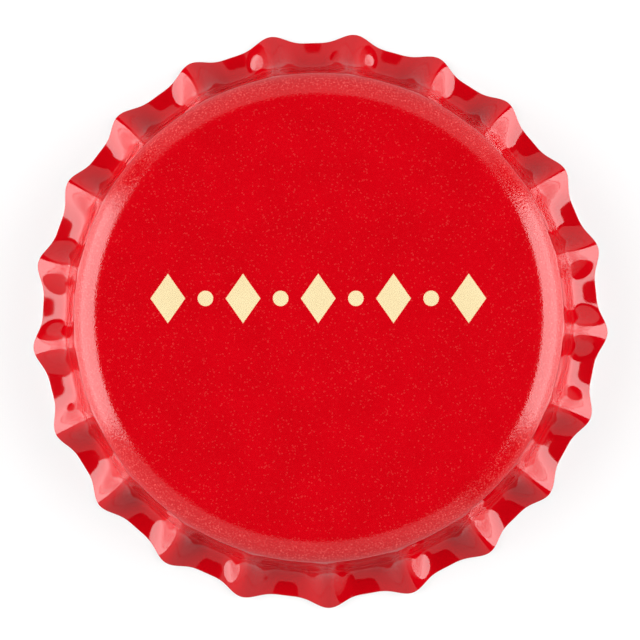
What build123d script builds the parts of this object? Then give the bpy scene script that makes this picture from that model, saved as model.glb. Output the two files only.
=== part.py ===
from build123d import *
from math import cos, pi, radians, sin, sqrt, tan
import os

# An unused crown cap for a bottle: a pressed sheet shell with a fluted skirt, and the seal moulded inside it.
# Sizes are in mm with Z up. The origin is the centre of the rim plane, which the roots of the flutes stand on.

# Sizes of the shell
overall_height = 6.0
crest_diameter = 32.1  # over the outer edges of the crests
root_diameter = 30.9  # over the outer edges of the roots
sheet_thickness = 0.235
corner_radius = 1.9  # outside of the bend between the top and the skirt
corner_turn = 60.0  # how far round this bend the flutes begin
crest_edge_height = 0.38  # outer edge of a crest above the rim plane
crest_flare_angle = 50.5  # lean of a crest from upright, at the rim
wall_lean = 10.0  # lean from upright of the plain wall above the flares
wall_start = 0.3  # along the shoulder's tangent
root_flare_angle = 77.0  # lean of a root from upright, at the rim
flute_count = 21
first_crest_angle = -2.7  # azimuth of a crest
crest_sharpness = 2.0  # 1 is an even wave, and more gives narrow crests between wide roots

# Sizes of the seal, which seats on the mouth of the bottle
seal_outer_diameter = 24.6
seal_side_gap = 1.075  # between the seal's land and where the inside of the corner would stand upright
seal_land_width = 1.6
seal_inner_slope_width = 0.9
seal_ring_thickness = 1.1
seal_web_thickness = 0.3
seal_edge_radius = 0.35

# How finely a flute is lofted
sections_per_flute = 12
sections_beyond_root = 2  # so that the skin runs smoothly through the root, where one flute meets the next
join_tolerance = 0.0001

# Worked out from the sizes above, in the half plane through the axis: X is the radius and Y the height
half_pitch = 180 / flute_count
mouth_diameter = seal_outer_diameter + 2 * seal_side_gap
upright_radius = mouth_diameter / 2 + sheet_thickness
corner_centre = Vector(upright_radius - corner_radius, overall_height - corner_radius)


def blend(start, end, share):
    """The point that lies the given share of the way from start to end."""
    return start + (end - start) * share


def crest_share(phase):
    """How far a flute stands out at a phase: 1 on its crest, at phase 0, and 0 on the roots beside it."""
    return ((1 + cos(phase)) / 2) ** crest_sharpness


def crest_share_slope(phase):
    """How fast crest_share falls with the phase."""
    return crest_sharpness * ((1 + cos(phase)) / 2) ** (crest_sharpness - 1) * sin(phase) / 2


def shoulder_point(inset):
    """Where the flutes leave the corner, on the skin that lies inset inside the outer one."""
    turn = radians(corner_turn)
    return corner_centre + Vector(sin(turn), cos(turn)) * (corner_radius - inset)


def flared_path(edge, flare_angle):
    """Corners of the outer skin's path down the skirt: shoulder, waist, knee and edge.

    The leg from the shoulder keeps the corner's tangent, and the leg to the edge leans by the flare angle.
    The knee lies where that leg meets the plain wall below the waist.
    """
    turn = radians(corner_turn)
    shoulder = shoulder_point(0)
    waist = shoulder + Vector(cos(turn), -sin(turn)) * wall_start
    spread = tan(radians(wall_lean))
    flare = tan(radians(flare_angle))
    fall = (edge.X - waist.X - flare * (waist.Y - edge.Y)) / (spread - flare)
    knee = waist + Vector(spread, -1) * fall
    return [shoulder, waist, knee, edge]


root_edge = Vector(root_diameter / 2, sheet_thickness * sin(radians(root_flare_angle)))
root_path = flared_path(root_edge, root_flare_angle)
crest_edge = Vector(crest_diameter / 2, crest_edge_height)
crest_path = flared_path(crest_edge, crest_flare_angle)


def leg_normals(path):
    """The normal of each leg of a path, pointing out of the cap."""
    legs = [(after - before).normalized() for before, after in zip(path, path[1:])]
    return [Vector(-leg.Y, leg.X) for leg in legs]


def flute_path(phase, depth):
    """Corners of the path down the skirt at a phase, on the skin that lies depth under the outer one.

    The flank of a flute lies aslant to the section, so its wall is wider there than the sheet is thick.
    """
    share = crest_share(phase)
    path = [blend(root, crest, share) for root, crest in zip(root_path, crest_path)]
    normals = leg_normals(path)
    inner = []
    for place, corner in enumerate(path):
        above = normals[max(place - 1, 0)]
        below = normals[min(place, len(normals) - 1)]
        mitre = (above + below) / (1 + above.dot(below))
        flute_depth = (crest_path[place] - root_path[place]).dot(mitre.normalized())
        flank_slope = flute_depth * crest_share_slope(phase) * flute_count / corner.X
        inner.append(corner - mitre * depth * sqrt(1 + flank_slope**2))
    return inner


def flute_line(path):
    """The smooth line down the skirt that a path's waist pulls once and its knee three times."""
    shoulder, waist, knee, edge = path
    return Bezier(shoulder, waist, knee, knee, knee, edge)


def section_plane(azimuth):
    """The plane through the axis at an azimuth in degrees, with its X outwards and its Y up."""
    return Plane.XZ.rotated((0, 0, azimuth))


def flute_section(phase):
    """The sheet's section through the skirt at a phase of the flute."""
    with BuildSketch(section_plane(half_pitch * phase / pi)) as section:
        with BuildLine():
            outer = flute_line(flute_path(phase, 0))
            inner = flute_line(flute_path(phase, sheet_thickness))
            Line(outer @ 1, inner @ 1)
            Line(inner @ 0, outer @ 0)
        make_face()
    return section.sketch


# One flute, from the middle of one root to the middle of the next
phase_step = 2 * pi / sections_per_flute
first_phase = -pi - sections_beyond_root * phase_step
section_count = sections_per_flute + 2 * sections_beyond_root + 1
with BuildPart() as flute:
    loft([flute_section(first_phase + step * phase_step) for step in range(section_count)])
    split(bisect_by=section_plane(half_pitch), keep=Keep.TOP)
    split(bisect_by=section_plane(-half_pitch), keep=Keep.BOTTOM)

# The skirt: the flute repeated round the axis
with BuildPart() as skirt:
    with PolarLocations(0, flute_count, start_angle=first_crest_angle):
        add(flute.part)

# The top: a flat panel and the rounded corner, as far round as the shoulder
with BuildPart() as top:
    with BuildSketch(Plane.XZ):
        with BuildLine():
            panel_top = Line((0, overall_height), (corner_centre.X, overall_height))
            CenterArc(corner_centre, corner_radius, 90 - corner_turn, corner_turn)
            Line(shoulder_point(0), shoulder_point(sheet_thickness))
            CenterArc(corner_centre, corner_radius - sheet_thickness, 90 - corner_turn, corner_turn)
            panel_underside = overall_height - sheet_thickness
            Polyline((corner_centre.X, panel_underside), (0, panel_underside), panel_top @ 0)
        make_face()
    revolve(axis=Axis.Z)

# The shell is one pressed sheet, so the top and the skirt are joined where they meet at the shoulder
pressed_sheet = top.part.solid().fuse(skirt.part.solid(), tol=join_tolerance)
with BuildPart() as crown_shell:
    add(pressed_sheet)

# The seal: a thin web across the inside of the top, with a raised ring that the mouth of the bottle seats on.
# It is moulded in place, so its back is the inside of the panel and of the corner.
seal_land_height = panel_underside - seal_ring_thickness
seal_land_outer = seal_outer_diameter / 2
seal_land_inner = seal_land_outer - seal_land_width
seal_web_height = panel_underside - seal_web_thickness
with BuildPart() as sealing_liner:
    with BuildSketch(Plane.XZ):
        with BuildLine():
            corner_inside = CenterArc(corner_centre, corner_radius - sheet_thickness, 45, 45)
            back = Polyline(corner_inside @ 1, (0, panel_underside), (0, seal_web_height))
            face = Polyline(
                back @ 1,
                (seal_land_inner - seal_inner_slope_width, seal_web_height),
                (seal_land_inner, seal_land_height),
                (seal_land_outer, seal_land_height),
                corner_inside @ 0,
            )
        make_face()
        land_corners = vertices().sort_by(Axis.Y)[:2]
        fillet(land_corners, radius=seal_edge_radius)
    revolve(axis=Axis.Z)

crown_shell.part.label = "crown_shell"
sealing_liner.part.label = "sealing_liner"
os.makedirs("parts", exist_ok=True)
export_step(crown_shell.part, "parts/crown_shell.step")
export_step(sealing_liner.part, "parts/sealing_liner.step")
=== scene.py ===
import math

import bmesh
import bpy
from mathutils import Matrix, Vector


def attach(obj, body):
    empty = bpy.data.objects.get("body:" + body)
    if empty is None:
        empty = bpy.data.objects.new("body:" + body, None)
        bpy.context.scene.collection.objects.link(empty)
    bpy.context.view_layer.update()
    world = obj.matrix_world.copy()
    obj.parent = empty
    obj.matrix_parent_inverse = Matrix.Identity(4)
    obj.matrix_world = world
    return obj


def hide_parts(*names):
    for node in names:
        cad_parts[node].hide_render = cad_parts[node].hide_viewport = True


# A lacquered crown cap, seen from above on a pale table between two tall soft boxes and two weaker cards.
# The frame is in metres. Sizes below are in mm, and MM turns them into metres.
MM = 0.001

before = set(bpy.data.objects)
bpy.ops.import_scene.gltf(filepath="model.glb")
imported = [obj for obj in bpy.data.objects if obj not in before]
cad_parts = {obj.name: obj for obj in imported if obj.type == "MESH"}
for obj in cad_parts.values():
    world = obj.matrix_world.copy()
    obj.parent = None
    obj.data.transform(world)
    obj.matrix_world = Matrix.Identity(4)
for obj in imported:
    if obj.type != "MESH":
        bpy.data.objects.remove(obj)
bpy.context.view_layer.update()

# Sizes of the pressed shell, in mm
OVERALL_HEIGHT = 6.0
CREST_RADIUS = 16.05  # over the outer edges of the crests
ROOT_RADIUS = 15.45  # over the outer edges of the roots
MOUTH_RADIUS = 13.375  # where the inside of the corner would stand upright
SHEET = 0.235
CORNER_RADIUS = 1.9
CORNER_TURN = math.radians(60.0)  # how far round the corner the flutes begin
CREST_EDGE_HEIGHT = 0.38
CREST_FLARE = math.radians(50.5)  # lean from upright at the rim, as is the next
ROOT_FLARE = math.radians(76.0)
CREST_LEAN = math.radians(10.0)  # lean from upright of the wall above the flares, as is the next
ROOT_LEAN = math.radians(5.0)
WALL_START = 0.3  # from the shoulder down, along the corner's tangent
CREST_BELLY = (13.82, 3.5)  # radius and height that the crest's line is drawn to high on the skirt
FLUTES = 21
FIRST_CREST = math.radians(-2.7)
CREST_SHARPNESS = 2.0  # 1 is an even wave, and more gives narrow crests between wide roots

# Sizes of the moulded seal, in mm
SEAL_OUTER_RADIUS = 12.3
SEAL_LAND_WIDTH = 1.6
SEAL_SLOPE_WIDTH = 0.9
SEAL_RING_THICKNESS = 1.1
SEAL_WEB_THICKNESS = 0.3
SEAL_BEAD_HEIGHT = 0.1
SEAL_EDGE_RADIUS = 0.14
SEAL_SLOPE_LEAD = 0.3  # how far inside the slope's foot it begins to rise
SEAL_BACK_GAP = 0.01  # between the seal's back and the sheet

# How finely the pieces are meshed
COLUMNS_PER_FLUTE = 40
SEAL_STEPS = 240
BEAD_STEPS = 10
SAME_POINT = 0.0005  # points of the sheet that lie nearer than this are merged


def srgb(red, green, blue):
    """A colour given as 0 to 255 on a screen, as the linear values that a shader takes."""
    values = []
    for channel in (red, green, blue):
        share = channel / 255
        values.append(share / 12.92 if share <= 0.04045 else ((share + 0.055) / 1.055) ** 2.4)
    return (*values, 1.0)


class Bench:
    """Lays out nodes in one tree and wires them together."""

    def __init__(self, tree):
        self.tree = tree

    def feed(self, socket, value):
        if isinstance(value, bpy.types.NodeSocket):
            self.tree.links.new(value, socket)
        else:
            socket.default_value = value

    def add(self, kind, settings=None, **inputs):
        """Adds a node. Settings are its own properties, and inputs are its sockets, with _ for a space."""
        node = self.tree.nodes.new(kind)
        for name, value in (settings or {}).items():
            setattr(node, name, value)
        for name, value in inputs.items():
            self.feed(node.inputs[name.replace("_", " ")], value)
        return node

    def math(self, operation, *values):
        node = self.add("ShaderNodeMath", {"operation": operation})
        for socket, value in zip(node.inputs, values):
            self.feed(socket, value)
        return node.outputs[0]

    def vector(self, operation, *values):
        node = self.add("ShaderNodeVectorMath", {"operation": operation})
        for socket, value in zip(node.inputs, values):
            self.feed(socket, value)
        return node.outputs["Vector"]

    def scaled(self, vector, length):
        node = self.add("ShaderNodeVectorMath", {"operation": "SCALE"}, Scale=length)
        self.feed(node.inputs[0], vector)
        return node.outputs["Vector"]

    def point(self, x, y, z):
        return self.add("ShaderNodeCombineXYZ", X=x, Y=y, Z=z).outputs[0]

    def parts(self, vector):
        return self.add("ShaderNodeSeparateXYZ", Vector=vector).outputs

    def ramp(self, value, low, high, start=0.0, end=1.0, smooth=False):
        """The value carried from low..high to start..end, and held at both ends."""
        settings = {"clamp": True, "interpolation_type": "SMOOTHSTEP" if smooth else "LINEAR"}
        node = self.add("ShaderNodeMapRange", settings, Value=value)
        for name, number in (("From Min", low), ("From Max", high), ("To Min", start), ("To Max", end)):
            self.feed(node.inputs[name], number)
        return node.outputs["Result"]

    def between(self, share, first, second):
        """The vector that lies the given share of the way from the first to the second."""
        node = self.add("ShaderNodeMix", {"data_type": "VECTOR", "clamp_factor": False})
        sockets = {socket.identifier: socket for socket in node.inputs}
        self.feed(sockets["Factor_Float"], share)
        self.feed(sockets["A_Vector"], first)
        self.feed(sockets["B_Vector"], second)
        return next(socket for socket in node.outputs if socket.identifier == "Result_Vector")

    def tint(self, share, first, second):
        """The colour that lies the given share of the way from the first to the second."""
        node = self.add("ShaderNodeMix", {"data_type": "RGBA"})
        sockets = {socket.identifier: socket for socket in node.inputs}
        self.feed(sockets["Factor_Float"], share)
        self.feed(sockets["A_Color"], first)
        self.feed(sockets["B_Color"], second)
        return next(socket for socket in node.outputs if socket.identifier == "Result_Color")


def new_group(name, kind, inputs, outputs):
    """An empty node group. Inputs are (name, socket, value) and outputs (name, socket)."""
    tree = bpy.data.node_groups.new(name, kind)
    for title, socket, value in inputs:
        entry = tree.interface.new_socket(title, in_out="INPUT", socket_type=socket)
        if value is not None:
            entry.default_value = value
    for title, socket in outputs:
        tree.interface.new_socket(title, in_out="OUTPUT", socket_type=socket)
    bench = Bench(tree)
    taken = bench.add("NodeGroupInput").outputs
    given = bench.add("NodeGroupOutput").inputs
    return bench, taken, given


# The pressed shell


def meridian():
    """Points of the outer skin in the half plane through the axis, as (radius, 0, height) in metres."""
    upright = MOUTH_RADIUS + SHEET
    centre = Vector((upright - CORNER_RADIUS, 0, OVERALL_HEIGHT - CORNER_RADIUS))
    crest_edge = Vector((CREST_RADIUS, 0, CREST_EDGE_HEIGHT))
    shoulder = centre + Vector((math.sin(CORNER_TURN), 0, math.cos(CORNER_TURN))) * CORNER_RADIUS
    root_edge = Vector((ROOT_RADIUS, 0, SHEET * math.sin(ROOT_FLARE)))
    waist = shoulder + Vector((math.cos(CORNER_TURN), 0, -math.sin(CORNER_TURN))) * WALL_START

    def knee(edge, lean, flare):
        """Where the leaning wall below the waist meets the line that leans by the flare to the edge."""
        spread = math.tan(lean)
        fall = (edge.x - waist.x - math.tan(flare) * (waist.z - edge.z)) / (spread - math.tan(flare))
        return waist + Vector((spread, 0, -1)) * fall

    return {
        "Corner Centre": centre * MM,
        "Shoulder": shoulder * MM,
        "Waist": waist * MM,
        "Root Knee": knee(root_edge, ROOT_LEAN, ROOT_FLARE) * MM,
        "Root Edge": root_edge * MM,
        "Crest Belly": Vector((CREST_BELLY[0], 0, CREST_BELLY[1])) * MM,
        "Crest Knee": knee(crest_edge, CREST_LEAN, CREST_FLARE) * MM,
        "Crest Edge": crest_edge * MM,
    }


MERIDIAN = meridian()

SKIN_SIZES = [
    ("Corner Centre", "NodeSocketVector", MERIDIAN["Corner Centre"]),
    ("Corner Radius", "NodeSocketFloat", CORNER_RADIUS * MM),
    ("Corner Turn", "NodeSocketFloat", CORNER_TURN),
    ("Shoulder", "NodeSocketVector", MERIDIAN["Shoulder"]),
    ("Waist", "NodeSocketVector", MERIDIAN["Waist"]),
    ("Root Knee", "NodeSocketVector", MERIDIAN["Root Knee"]),
    ("Root Edge", "NodeSocketVector", MERIDIAN["Root Edge"]),
    ("Crest Belly", "NodeSocketVector", MERIDIAN["Crest Belly"]),
    ("Crest Knee", "NodeSocketVector", MERIDIAN["Crest Knee"]),
    ("Crest Edge", "NodeSocketVector", MERIDIAN["Crest Edge"]),
    ("Flutes", "NodeSocketFloat", float(FLUTES)),
    ("First Crest", "NodeSocketFloat", FIRST_CREST),
    ("Crest Sharpness", "NodeSocketFloat", CREST_SHARPNESS),
    ("Press Shortfall", "NodeSocketFloat", 0.07),
    ("Press Sway", "NodeSocketFloat", math.radians(0.35)),
    ("Seed", "NodeSocketInt", 5),
]


def make_bent_line():
    """A group that follows a smooth curve from start to end.

    The curve is drawn once to its waist, once to its belly and twice to its knee.
    """
    inputs = [(name, "NodeSocketVector", None) for name in ("Start", "Waist", "Belly", "Knee", "End")]
    inputs.append(("Share", "NodeSocketFloat", 0.0))
    outputs = [("Point", "NodeSocketVector")]
    bench, taken, given = new_group("bent_line", "GeometryNodeTree", inputs, outputs)
    points = [taken[name] for name in ("Start", "Waist", "Belly", "Knee", "Knee", "End")]
    while len(points) > 1:
        points = [bench.between(taken["Share"], a, b) for a, b in zip(points, points[1:])]
    bench.feed(given["Point"], points[0])
    return bench.tree


def make_pressed_skin(bent_line):
    """A group that gives the outer skin's point at an azimuth and a run.

    The run is 0 at the axis, 1 at the end of the flat panel, 2 at the shoulder and 3 at the rim.
    """
    inputs = [("Azimuth", "NodeSocketFloat", 0.0), ("Run", "NodeSocketFloat", 0.0)] + SKIN_SIZES
    outputs = [("Point", "NodeSocketVector")]
    bench, taken, given = new_group("pressed_skin", "GeometryNodeTree", inputs, outputs)
    run = taken["Run"]
    centre = bench.parts(taken["Corner Centre"])

    # Flat panel and rounded corner
    panel_height = bench.math("ADD", centre["Z"], taken["Corner Radius"])
    panel = bench.point(bench.math("MULTIPLY", run, centre["X"]), 0.0, panel_height)
    turned = bench.math("MULTIPLY", bench.math("SUBTRACT", run, 1.0), taken["Corner Turn"])
    outwards = bench.point(bench.math("SINE", turned), 0.0, bench.math("COSINE", turned))
    corner = bench.vector("ADD", taken["Corner Centre"], bench.scaled(outwards, taken["Corner Radius"]))

    # Which flute this is, and how far across it
    turns = bench.math("SUBTRACT", taken["Azimuth"], taken["First Crest"])
    pitches = bench.math("DIVIDE", bench.math("MULTIPLY", turns, taken["Flutes"]), 2 * math.pi)
    nearest = bench.math("ROUND", pitches)
    phase = bench.math("MULTIPLY", bench.math("SUBTRACT", pitches, nearest), 2 * math.pi)
    wave = bench.math("MULTIPLY_ADD", bench.math("COSINE", phase), 0.5, 0.5)
    flute = bench.math("FLOORED_MODULO", nearest, taken["Flutes"])

    def chance(offset, low):
        node = bench.add("FunctionNodeRandomValue", {"data_type": "FLOAT"})
        sockets = {socket.identifier: socket for socket in node.inputs}
        bench.feed(sockets["Min_001"], low)
        bench.feed(sockets["Max_001"], 1.0)
        bench.feed(sockets["ID"], flute)
        bench.feed(sockets["Seed"], bench.math("ADD", taken["Seed"], offset))
        return next(socket for socket in node.outputs if socket.identifier == "Value_001")

    # No two flutes come out of the press quite alike
    shortfall = bench.math("MULTIPLY", taken["Press Shortfall"], chance(0.0, 0.0))
    stands_out = bench.math("POWER", wave, taken["Crest Sharpness"])
    stands_out = bench.math("MULTIPLY", stands_out, bench.math("SUBTRACT", 1.0, shortfall))
    along = bench.math("SUBTRACT", run, 2.0)
    sway = bench.math("MULTIPLY", bench.math("MULTIPLY", taken["Press Sway"], chance(1.0, -1.0)), wave)
    sway = bench.math("MULTIPLY", sway, bench.ramp(along, 0.0, 1.0))

    # Skirt: between the bent lines of the root and of the crest
    def skirt_line(belly, knee, end):
        node = bench.add("GeometryNodeGroup", {"node_tree": bent_line}, Share=along, Start=taken["Shoulder"])
        for name, value in (("Waist", taken["Waist"]), ("Belly", belly), ("Knee", knee), ("End", end)):
            bench.feed(node.inputs[name], value)
        return node.outputs["Point"]

    root = skirt_line(taken["Root Knee"], taken["Root Knee"], taken["Root Edge"])
    crest = skirt_line(taken["Crest Belly"], taken["Crest Knee"], taken["Crest Edge"])
    skirt = bench.between(stands_out, root, crest)

    # The section's point that the run asks for, swung round to its azimuth
    past_panel = bench.math("GREATER_THAN", run, 1.0)
    past_shoulder = bench.math("GREATER_THAN", run, 2.0)
    section = bench.between(past_shoulder, bench.between(past_panel, panel, corner), skirt)
    section = bench.parts(section)
    azimuth = bench.math("ADD", taken["Azimuth"], sway)
    x = bench.math("MULTIPLY", section["X"], bench.math("COSINE", azimuth))
    y = bench.math("MULTIPLY", section["X"], bench.math("SINE", azimuth))
    bench.feed(given["Point"], bench.point(x, y, section["Z"]))
    return bench.tree


def make_shell_tree():
    """The tree that wraps one closed sheet round the pressed skin: outside, sheared edge and inside."""
    pressed_skin = make_pressed_skin(make_bent_line())
    own = [
        ("Sheet", "NodeSocketFloat", SHEET * MM),
        ("Edge Swell", "NodeSocketFloat", 0.02 * MM),
        ("Rim Margin", "NodeSocketFloat", 0.004),
        ("Columns", "NodeSocketInt", FLUTES * COLUMNS_PER_FLUTE),
        ("Panel Rows", "NodeSocketInt", 4),
        ("Corner Rows", "NodeSocketInt", 12),
        ("Skirt Rows", "NodeSocketInt", 36),
        ("Edge Rows", "NodeSocketInt", 8),
        ("Outside", "NodeSocketMaterial", None),
        ("Edge", "NodeSocketMaterial", None),
        ("Inside", "NodeSocketMaterial", None),
    ]
    inputs = own + SKIN_SIZES
    outputs = [("Shell", "NodeSocketGeometry")]
    bench, taken, given = new_group("pressed_shell", "GeometryNodeTree", inputs, outputs)

    # A grid with one column for each azimuth, and rows from the axis out, round the edge and back inside
    corner_row = bench.math("ADD", taken["Panel Rows"], taken["Corner Rows"])
    rim_row = bench.math("ADD", corner_row, taken["Skirt Rows"])
    inside_row = bench.math("ADD", rim_row, taken["Edge Rows"])
    last_row = bench.math("ADD", inside_row, rim_row)
    rows = bench.math("ADD", last_row, 1.0)
    grid = bench.add("GeometryNodeMeshGrid")
    bench.feed(grid.inputs["Vertices X"], bench.math("ADD", taken["Columns"], 1.0))
    bench.feed(grid.inputs["Vertices Y"], rows)
    index = bench.add("GeometryNodeInputIndex").outputs[0]
    column = bench.math("FLOOR", bench.math("DIVIDE", bench.math("ADD", index, 0.5), rows))
    row = bench.math("SUBTRACT", index, bench.math("MULTIPLY", column, rows))
    azimuth = bench.math("MULTIPLY", bench.math("DIVIDE", column, taken["Columns"]), 2 * math.pi)

    # How far out each row lies, and how deep in the sheet
    near = bench.math("MINIMUM", row, bench.math("SUBTRACT", last_row, row))
    on_panel = bench.ramp(near, 0.0, taken["Panel Rows"], 0.00001, 1.0)
    on_corner = bench.ramp(near, taken["Panel Rows"], corner_row)
    rim = bench.math("SUBTRACT", 1.0, taken["Rim Margin"])
    on_skirt = bench.ramp(near, corner_row, rim_row, 0.0, rim, smooth=True)
    run = bench.math("ADD", bench.math("ADD", on_panel, on_corner), on_skirt)
    across = bench.math("COSINE", bench.ramp(row, rim_row, inside_row, 0.0, math.pi))
    depth = bench.math("MULTIPLY", bench.math("MULTIPLY_ADD", across, -0.5, 0.5), taken["Sheet"])
    fullness = bench.math("SUBTRACT", 1.0, bench.math("POWER", bench.math("ABSOLUTE", across), 4.0))
    fullness = bench.math("SQRT", bench.math("MAXIMUM", fullness, 0.0))
    swell = bench.math("MULTIPLY", fullness, taken["Edge Swell"])

    def skin(azimuth_step, run_step):
        node = bench.add("GeometryNodeGroup", {"node_tree": pressed_skin})
        bench.feed(node.inputs["Azimuth"], bench.math("ADD", azimuth, azimuth_step))
        bench.feed(node.inputs["Run"], bench.math("ADD", run, run_step))
        for name, _, _ in SKIN_SIZES:
            bench.feed(node.inputs[name], taken[name])
        return node.outputs["Point"]

    # The sheet's inside lies square under its outside, by the thickness of the sheet.
    # Square is taken over a short reach, so that the inside turns gently round the bend at the shoulder.
    here = skin(0.0, 0.0)
    reach = 0.05  # of the run, both ways
    sidestep = 0.001  # of the azimuth
    outwards = bench.vector("SUBTRACT", skin(0.0, reach), skin(0.0, -reach))
    sideways = bench.vector("SUBTRACT", skin(sidestep, 0.0), here)
    square = bench.vector("NORMALIZE", bench.vector("CROSS_PRODUCT", outwards, sideways))
    place = bench.vector("SUBTRACT", here, bench.scaled(square, depth))
    place = bench.vector("ADD", place, bench.scaled(bench.vector("NORMALIZE", outwards), swell))

    kept = bench.add("GeometryNodeCaptureAttribute", Geometry=grid.outputs["Mesh"])
    kept.capture_items.new("FLOAT", "Row")
    bench.feed(kept.inputs["Row"], row)
    placed = bench.add("GeometryNodeSetPosition", Geometry=kept.outputs["Geometry"], Position=place)
    merged = bench.add("GeometryNodeMergeByDistance", Geometry=placed.outputs["Geometry"])
    bench.feed(merged.inputs["Distance"], SAME_POINT * MM)
    turned = bench.add("GeometryNodeFlipFaces", Mesh=merged.outputs["Geometry"])
    smooth = bench.add("GeometryNodeSetShadeSmooth", Geometry=turned.outputs["Mesh"])
    real = bench.add("GeometryNodeRealizeInstances", Geometry=smooth.outputs["Geometry"])

    def finished(geometry, finish, chosen=True):
        """The geometry with a finish on its chosen faces."""
        node = bench.add("GeometryNodeSetMaterial", Geometry=geometry, Selection=chosen)
        bench.feed(node.inputs["Material"], taken[finish])
        return node.outputs["Geometry"]

    past_rim = bench.math("GREATER_THAN", kept.outputs["Row"], rim_row)
    past_edge = bench.math("GREATER_THAN", kept.outputs["Row"], inside_row)
    shell = finished(real.outputs["Geometry"], "Outside")
    shell = finished(shell, "Edge", past_rim)
    shell = finished(shell, "Inside", past_edge)
    bench.feed(given["Shell"], shell)
    return bench.tree


def made_solid(name, tree, values):
    """A plain mesh object of what a geometry tree makes with these values."""
    host = bpy.data.objects.new(name + "_host", bpy.data.meshes.new(name + "_host"))
    bpy.context.scene.collection.objects.link(host)
    modifier = host.modifiers.new("maker", "NODES")
    modifier.node_group = tree
    for item in tree.interface.items_tree:
        if item.item_type == "SOCKET" and item.in_out == "INPUT" and item.name in values:
            modifier[item.identifier] = values[item.name]
    bpy.context.view_layer.update()
    evaluated = host.evaluated_get(bpy.context.evaluated_depsgraph_get())
    mesh = bpy.data.meshes.new_from_object(evaluated)
    mesh.name = name
    host.modifiers.remove(modifier)
    bpy.data.objects.remove(host)
    piece = bpy.data.objects.new(name, mesh)
    bpy.context.scene.collection.objects.link(piece)
    return piece


# The moulded seal


def bead(start, end):
    """Points of a low rounded bead between two points of the same height, bulging down."""
    points = []
    for step in range(1, BEAD_STEPS):
        share = step / BEAD_STEPS
        radius = start[0] + (end[0] - start[0]) * share
        points.append((radius, start[1] - SEAL_BEAD_HEIGHT * math.sin(math.pi * share)))
    return points


def seal_profile():
    """The seal's section as (radius, height) in mm, from the web's centre out and back along the panel."""
    underside = OVERALL_HEIGHT - SHEET
    web = underside - SEAL_WEB_THICKNESS
    land = underside - SEAL_RING_THICKNESS + SEAL_BEAD_HEIGHT
    outer = SEAL_OUTER_RADIUS
    inner = outer - SEAL_LAND_WIDTH
    foot = inner - SEAL_SLOPE_WIDTH
    centre = (MOUTH_RADIUS + SHEET - CORNER_RADIUS, OVERALL_HEIGHT - CORNER_RADIUS)
    inside = CORNER_RADIUS - SHEET - SEAL_BACK_GAP
    profile = [(0, web), (foot * 0.5, web), (foot - 0.5, web)]
    for share in (0.1, 0.3, 0.5, 0.7, 0.9):
        eased = share * share * (3 - 2 * share)
        risen = foot - SEAL_SLOPE_LEAD + (SEAL_SLOPE_WIDTH + SEAL_SLOPE_LEAD) * share
        profile.append((risen, web + (land - web) * eased))
    first = (inner + 0.12, land)
    second = (inner + 0.5 * SEAL_LAND_WIDTH, land)
    third = (outer - 0.1, land)
    profile += [first] + bead(first, second)
    profile += [second] + bead(second, third)
    profile.append(third)
    for turn in (20, 45, 70):
        angle = math.radians(turn)
        rise = SEAL_EDGE_RADIUS * (1 - math.cos(angle))
        profile.append((third[0] + SEAL_EDGE_RADIUS * math.sin(angle), land + rise))
    for turn in (45, 54, 63, 72, 81, 90):
        angle = math.radians(turn)
        profile.append((centre[0] + inside * math.cos(angle), centre[1] + inside * math.sin(angle)))
    profile.append((0, underside - SEAL_BACK_GAP))
    return profile


def turned_piece(name, profile, steps, material):
    """A solid of revolution about the axis, from a section whose first and last points lie on the axis."""
    mesh = bmesh.new()
    first = mesh.verts.new((0, 0, profile[0][1] * MM))
    last = mesh.verts.new((0, 0, profile[-1][1] * MM))
    rings = []
    for step in range(steps):
        angle = 2 * math.pi * step / steps
        x = math.cos(angle) * MM
        y = math.sin(angle) * MM
        points = [(x * radius, y * radius, height * MM) for radius, height in profile[1:-1]]
        rings.append([mesh.verts.new(point) for point in points])
    for ring, following in zip(rings, rings[1:] + rings[:1]):
        mesh.faces.new((first, ring[0], following[0]))
        for place in range(len(ring) - 1):
            mesh.faces.new((ring[place], ring[place + 1], following[place + 1], following[place]))
        mesh.faces.new((last, following[-1], ring[-1]))
    bmesh.ops.recalc_face_normals(mesh, faces=mesh.faces)
    for face in mesh.faces:
        face.smooth = True
    data = bpy.data.meshes.new(name)
    mesh.to_mesh(data)
    mesh.free()
    data.materials.append(material)
    piece = bpy.data.objects.new(name, data)
    bpy.context.scene.collection.objects.link(piece)
    return piece


# Finishes


def make_grain_group():
    """Fine grain of a rolled and baked coat of paint: small lumps, specks and patches, sized in mm. The
    specks are where the red lacquer paints pink glints.
    """
    inputs = [
        ("Vector", "NodeSocketVector", None),
        ("Lump Size", "NodeSocketFloat", 0.11),
        ("Speck Size", "NodeSocketFloat", 0.07),
    ]
    outputs = [("Lumps", "NodeSocketFloat"), ("Glint Specks", "NodeSocketFloat"), ("Patches", "NodeSocketFloat")]
    bench, taken, given = new_group("paint_grain", "ShaderNodeTree", inputs, outputs)
    per_metre = 1 / MM
    speck_from = 0.955
    lumps = bench.add("ShaderNodeTexNoise", Vector=taken["Vector"], Detail=2.0, Roughness=0.55)
    bench.feed(lumps.inputs["Scale"], bench.math("DIVIDE", per_metre, taken["Lump Size"]))
    specks = bench.add("ShaderNodeTexVoronoi", {"feature": "F1"}, Vector=taken["Vector"], Randomness=1.0)
    bench.feed(specks.inputs["Scale"], bench.math("DIVIDE", per_metre, taken["Speck Size"]))
    chosen = bench.parts(specks.outputs["Color"])
    # Speck mask, where the red lacquer paints its pink glints
    glint_speck = bench.math("GREATER_THAN", chosen["X"], speck_from)
    patches = bench.add("ShaderNodeTexNoise", Vector=taken["Vector"], Scale=350.0, Detail=3.0, Roughness=0.6)
    bench.feed(given["Lumps"], lumps.outputs["Fac"])
    bench.feed(given["Glint Specks"], glint_speck)
    bench.feed(given["Patches"], patches.outputs["Fac"])
    return bench.tree


GRAIN = make_grain_group()


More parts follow.
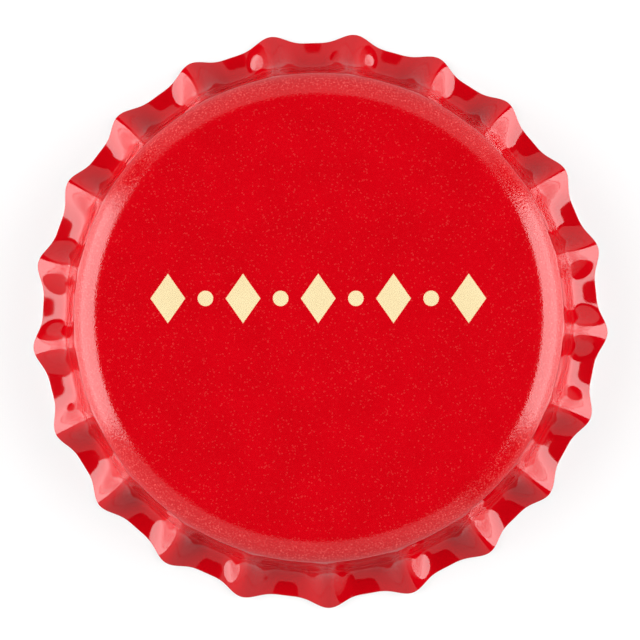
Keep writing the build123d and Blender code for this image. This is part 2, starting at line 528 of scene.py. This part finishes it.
def new_material(name):
    material = bpy.data.materials.new(name)
    material.use_nodes = True
    material.node_tree.nodes.clear()
    bench = Bench(material.node_tree)
    shader = bench.add("ShaderNodeBsdfPrincipled")
    output = bench.add("ShaderNodeOutputMaterial")
    bench.feed(output.inputs["Surface"], shader.outputs["BSDF"])
    where = bench.add("ShaderNodeTexCoord").outputs["Object"]
    return material, bench, shader, where


def printed_row(bench, where):
    """Mask of the print on the panel, in mm: a level row of lozenges with small dots between them."""
    row_height = 1.0
    gap = 4.1
    lozenges = 5
    lozenge_half_width = 0.95
    lozenge_half_height = 1.35
    dot_radius = 0.42
    ink_edge = 0.012
    half_row = gap * (lozenges - 1) / 2
    across, up, height = bench.parts(where)
    x = bench.math("DIVIDE", across, MM)
    y = bench.math("DIVIDE", bench.math("SUBTRACT", up, row_height * MM), MM)

    def off_centre(shift):
        """How far a point lies from the nearest centre of a row of marks one gap apart."""
        moved = bench.math("ADD", x, shift + gap / 2)
        return bench.math("SUBTRACT", bench.math("FLOORED_MODULO", moved, gap), gap / 2)

    wide = bench.math("DIVIDE", bench.math("ABSOLUTE", off_centre(0.0)), lozenge_half_width)
    tall = bench.math("DIVIDE", bench.math("ABSOLUTE", y), lozenge_half_height)
    lozenge = bench.math("SUBTRACT", 1.0, bench.math("ADD", wide, tall))
    lozenge = bench.math("MULTIPLY", lozenge, 0.8)
    from_dot = off_centre(gap / 2)
    square = bench.math("ADD", bench.math("MULTIPLY", from_dot, from_dot), bench.math("MULTIPLY", y, y))
    dot = bench.math("SUBTRACT", dot_radius, bench.math("SQRT", square))
    in_row = bench.math("SUBTRACT", half_row + 1.2, bench.math("ABSOLUTE", x))
    mark = bench.math("MINIMUM", bench.math("MAXIMUM", lozenge, dot), in_row)
    on_top = bench.math("GREATER_THAN", height, (OVERALL_HEIGHT - 0.1) * MM)
    return bench.math("MULTIPLY", bench.ramp(mark, -ink_edge, ink_edge), on_top)


def make_red_lacquer():
    """Gloss red lacquer over tinplate: sandy on the panel and the corner, drawn smooth on the flutes. Pink
    painted glints sit on its lumps and specks, most on the corner.
    """
    red_ground = srgb(178, 0, 11)
    red_patch = srgb(184, 0, 13)
    red_lump = srgb(194, 17, 26)
    # Pink of the painted glints on the lumps and specks
    painted_glint_pink = srgb(232, 92, 88)
    cream_ground = srgb(212, 193, 149)
    cream_patch = srgb(216, 198, 155)
    material, bench, shader, where = new_material("red_lacquer")
    grain = bench.add("ShaderNodeGroup", {"node_tree": GRAIN}, Vector=where)
    height = bench.parts(where)["Z"]

    # The sand fades out below the corner. Pink painted glints on the lumps and specks are stronger on the
    # corner than on the panel, where the soft boxes' highlight falls.
    sandy = bench.ramp(height, 4.95 * MM, 5.3 * MM, smooth=True)
    corner_glint_share = bench.ramp(height, 5.7 * MM, 5.98 * MM, 1.0, 0.0)

    patch = bench.ramp(grain.outputs["Patches"], 0.35, 0.65)
    red = bench.tint(patch, red_ground, red_patch)
    lump_tone_and_glint = bench.ramp(grain.outputs["Lumps"], 0.5, 0.75)
    lump_tone_and_glint = bench.math("MULTIPLY", lump_tone_and_glint, sandy)
    red = bench.tint(bench.math("MULTIPLY", lump_tone_and_glint, 0.35), red, red_lump)
    # Painted glints: pink on the lumps of the corner
    red = bench.tint(bench.math("MULTIPLY", bench.math("MULTIPLY", lump_tone_and_glint, corner_glint_share), 0.38), red, painted_glint_pink)
    # Painted glints: pink specks on the panel, and more on the corner
    glint_speck = bench.math("MULTIPLY", grain.outputs["Glint Specks"], sandy)
    glint_speck = bench.math("MULTIPLY", glint_speck, bench.ramp(corner_glint_share, 0.0, 1.0, 0.12, 0.4))
    red = bench.tint(glint_speck, red, painted_glint_pink)
    ink = printed_row(bench, where)
    cream = bench.tint(patch, cream_ground, cream_patch)
    bench.feed(shader.inputs["Base Color"], bench.tint(ink, red, cream))

    rough = bench.ramp(sandy, 0.0, 1.0, 0.07, 0.12)
    rough = bench.math("MULTIPLY_ADD", bench.math("SUBTRACT", grain.outputs["Lumps"], 0.5), 0.06, rough)
    bench.feed(shader.inputs["Roughness"], bench.math("MULTIPLY_ADD", ink, 0.12, rough))
    relief = bench.math("MULTIPLY", grain.outputs["Lumps"], bench.ramp(sandy, 0.0, 1.0, 0.02, 1.0))
    relief = bench.math("MULTIPLY_ADD", ink, 0.8, relief)
    bump = bench.add("ShaderNodeBump", Strength=1.0, Distance=0.009 * MM, Height=relief)
    bench.feed(shader.inputs["Normal"], bump.outputs["Normal"])
    return material


def make_sheared_edge():
    """The cut edge of the tinplate: bare bright metal with a drag of lacquer and fine shear lines."""
    material, bench, shader, where = new_material("sheared_edge")
    x, y, z = bench.parts(where)
    along = bench.math("MULTIPLY", bench.math("ARCTAN2", y, x), 260.0)
    up = bench.math("MULTIPLY", z, 3000.0)
    lines = bench.add("ShaderNodeTexNoise", {"noise_dimensions": "2D"}, Scale=1.0, Detail=3.0)
    bench.feed(lines.inputs["Vector"], bench.point(along, up, 0.0))
    drag = bench.ramp(lines.outputs["Fac"], 0.52, 0.62)
    bench.feed(shader.inputs["Base Color"], bench.tint(drag, srgb(196, 190, 186), srgb(206, 70, 70)))
    bench.feed(shader.inputs["Metallic"], bench.ramp(drag, 0.0, 1.0, 1.0, 0.0))
    bench.feed(shader.inputs["Roughness"], bench.ramp(lines.outputs["Fac"], 0.3, 0.7, 0.28, 0.5))
    bump = bench.add("ShaderNodeBump", Strength=0.6, Distance=0.01 * MM, Height=lines.outputs["Fac"])
    bench.feed(shader.inputs["Normal"], bump.outputs["Normal"])
    return material


def make_inside_varnish():
    """Clear varnish over the tinplate's inside: silvery, faintly gold, with the sheet's rolling lines."""
    material, bench, shader, where = new_material("inside_varnish")
    rolled = bench.add("ShaderNodeMapping", {"vector_type": "POINT"}, Vector=where)
    rolled.inputs["Scale"].default_value = (300.0, 9000.0, 300.0)
    lines = bench.add("ShaderNodeTexNoise", Vector=rolled.outputs["Vector"], Scale=1.0, Detail=2.0)
    grain = bench.add("ShaderNodeGroup", {"node_tree": GRAIN}, Vector=where, Lump_Size=0.3)
    patches = bench.math("MULTIPLY", grain.outputs["Patches"], 0.4)
    share = bench.math("MULTIPLY_ADD", lines.outputs["Fac"], 0.6, patches)
    silver = bench.tint(bench.ramp(share, 0.3, 0.7), srgb(196, 188, 170), srgb(216, 210, 194))
    bench.feed(shader.inputs["Base Color"], silver)
    shader.inputs["Metallic"].default_value = 0.85
    bench.feed(shader.inputs["Roughness"], bench.ramp(share, 0.3, 0.7, 0.3, 0.42))
    relief = bench.math("ADD", lines.outputs["Fac"], grain.outputs["Lumps"])
    bump = bench.add("ShaderNodeBump", Strength=0.5, Distance=0.003 * MM, Height=relief)
    bench.feed(shader.inputs["Normal"], bump.outputs["Normal"])
    return material


def make_seal_compound():
    """Soft moulded seal: pale, slightly see-through plastic with faint rings from the moulding punch."""
    material, bench, shader, where = new_material("seal_compound")
    ring_pitch = 0.35
    x, y, _ = bench.parts(where)
    square = bench.math("ADD", bench.math("MULTIPLY", x, x), bench.math("MULTIPLY", y, y))
    radius = bench.math("SQRT", square)
    rings = bench.math("SINE", bench.math("MULTIPLY", radius, 2 * math.pi / (ring_pitch * MM)))
    on_web = bench.ramp(radius, 9.2 * MM, 9.4 * MM, 1.0, 0.0)
    grain = bench.add("ShaderNodeGroup", {"node_tree": GRAIN}, Vector=where, Lump_Size=0.2)
    patch = bench.ramp(grain.outputs["Patches"], 0.3, 0.7)
    bench.feed(shader.inputs["Base Color"], bench.tint(patch, srgb(222, 220, 212), srgb(230, 228, 221)))
    bench.feed(shader.inputs["Roughness"], bench.ramp(grain.outputs["Lumps"], 0.3, 0.7, 0.38, 0.5))
    shader.inputs["Subsurface Weight"].default_value = 0.25
    shader.inputs["Subsurface Radius"].default_value = (1.0, 0.95, 0.85)
    shader.inputs["Subsurface Scale"].default_value = 0.4 * MM
    relief = bench.math("MULTIPLY_ADD", bench.math("MULTIPLY", rings, on_web), 0.5, grain.outputs["Lumps"])
    bump = bench.add("ShaderNodeBump", Strength=0.7, Distance=0.006 * MM, Height=relief)
    bench.feed(shader.inputs["Normal"], bump.outputs["Normal"])
    return material


# The pieces

red_lacquer = make_red_lacquer()
shell_finishes = {"Outside": red_lacquer, "Edge": make_sheared_edge(), "Inside": make_inside_varnish()}
shell = made_solid("lacquered_shell", make_shell_tree(), shell_finishes)
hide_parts("crown_shell")
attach(shell, "root")

seal = turned_piece("moulded_seal", seal_profile(), SEAL_STEPS, make_seal_compound())
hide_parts("sealing_liner")
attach(seal, "root")


# The table, the lights and the camera


def make_table():
    """A pale glossy table that the cap stands on, white to the camera but for the cap's shadow."""
    half = 1.6
    corners = [(-half, -half, 0), (half, -half, 0), (half, half, 0), (-half, half, 0)]
    mesh = bpy.data.meshes.new("table")
    mesh.from_pydata(corners, [], [(0, 1, 2, 3)])
    table = bpy.data.objects.new("table", mesh)
    bpy.context.scene.collection.objects.link(table)
    material = bpy.data.materials.new("pale_table")
    material.use_nodes = True
    material.node_tree.nodes.clear()
    bench = Bench(material.node_tree)
    grey = (0.42, 0.42, 0.42, 1)
    top = bench.add("ShaderNodeBsdfPrincipled", Base_Color=grey, Roughness=0.08, IOR=2.8)
    path = bench.add("ShaderNodeLightPath").outputs
    mirrored = bench.math("MAXIMUM", path["Is Glossy Ray"], path["Is Transmission Ray"])
    seen = bench.math("MAXIMUM", path["Is Camera Ray"], bench.math("MULTIPLY", mirrored, 0.1))
    glow = bench.math("MULTIPLY", seen, 0.6)
    white = bench.add("ShaderNodeEmission", Color=(1, 1, 1, 1), Strength=glow)
    both = bench.add("ShaderNodeAddShader")
    bench.feed(both.inputs[0], top.outputs[0])
    bench.feed(both.inputs[1], white.outputs[0])
    output = bench.add("ShaderNodeOutputMaterial")
    bench.feed(output.inputs["Surface"], both.outputs[0])
    mesh.materials.append(material)


def make_soft_box(name, azimuth, width, radiance):
    """A tall soft box that stands on the table and faces the cap. Sizes are in metres."""
    height = 0.57
    distance = 0.40
    off_table = 0.004
    lamp = bpy.data.lights.new(name, "AREA")
    lamp.shape = "RECTANGLE"
    lamp.size = width
    lamp.size_y = height
    lamp.energy = radiance * math.pi * width * height
    box = bpy.data.objects.new(name, lamp)
    bpy.context.scene.collection.objects.link(box)
    angle = math.radians(azimuth)
    box.location = (distance * math.cos(angle), distance * math.sin(angle), height / 2 + off_table)
    box.rotation_euler = (math.radians(90), 0, angle + math.radians(90))


make_table()
make_soft_box("right_box", azimuth=2.5, width=0.44, radiance=6.1)
make_soft_box("left_box", azimuth=177.5, width=0.44, radiance=6.1)
make_soft_box("far_card", azimuth=88.5, width=0.84, radiance=0.75)
make_soft_box("near_card", azimuth=258.5, width=1.0, radiance=0.7)

world = bpy.data.worlds.new("studio")
bpy.context.scene.world = world
world.use_nodes = True
world.node_tree.nodes.clear()
room = Bench(world.node_tree)
seen = room.add("ShaderNodeLightPath").outputs["Is Camera Ray"]
ROOM_LIGHT = 0.02
glow = room.ramp(seen, 0.0, 1.0, ROOM_LIGHT, 1.0)
backdrop = room.add("ShaderNodeBackground", Color=(1, 1, 1, 1), Strength=glow)
room.feed(room.add("ShaderNodeOutputWorld").inputs["Surface"], backdrop.outputs[0])

# The camera looks almost straight down, and its frame takes in as much as the photo's 640 pixels do
MM_PER_PIXEL = 0.05563
FRAME_WIDTH = 640 * MM_PER_PIXEL * MM
CAMERA_DISTANCE = 0.29
TILT_SOUTH = math.radians(1.7)
TILT_EAST = math.radians(0.9)
lens = bpy.data.cameras.new("camera")
lens.sensor_width = 36.0
lens.lens = lens.sensor_width * CAMERA_DISTANCE / FRAME_WIDTH
lens.clip_start = 0.01
camera = bpy.data.objects.new("camera", lens)
bpy.context.scene.collection.objects.link(camera)
towards_camera = Vector((math.sin(TILT_EAST), -math.sin(TILT_SOUTH), math.cos(TILT_SOUTH)))
camera.location = towards_camera * CAMERA_DISTANCE
camera.rotation_euler = (TILT_SOUTH, TILT_EAST, 0)
bpy.context.scene.camera = camera
bpy.context.scene.view_settings.view_transform = "Standard"
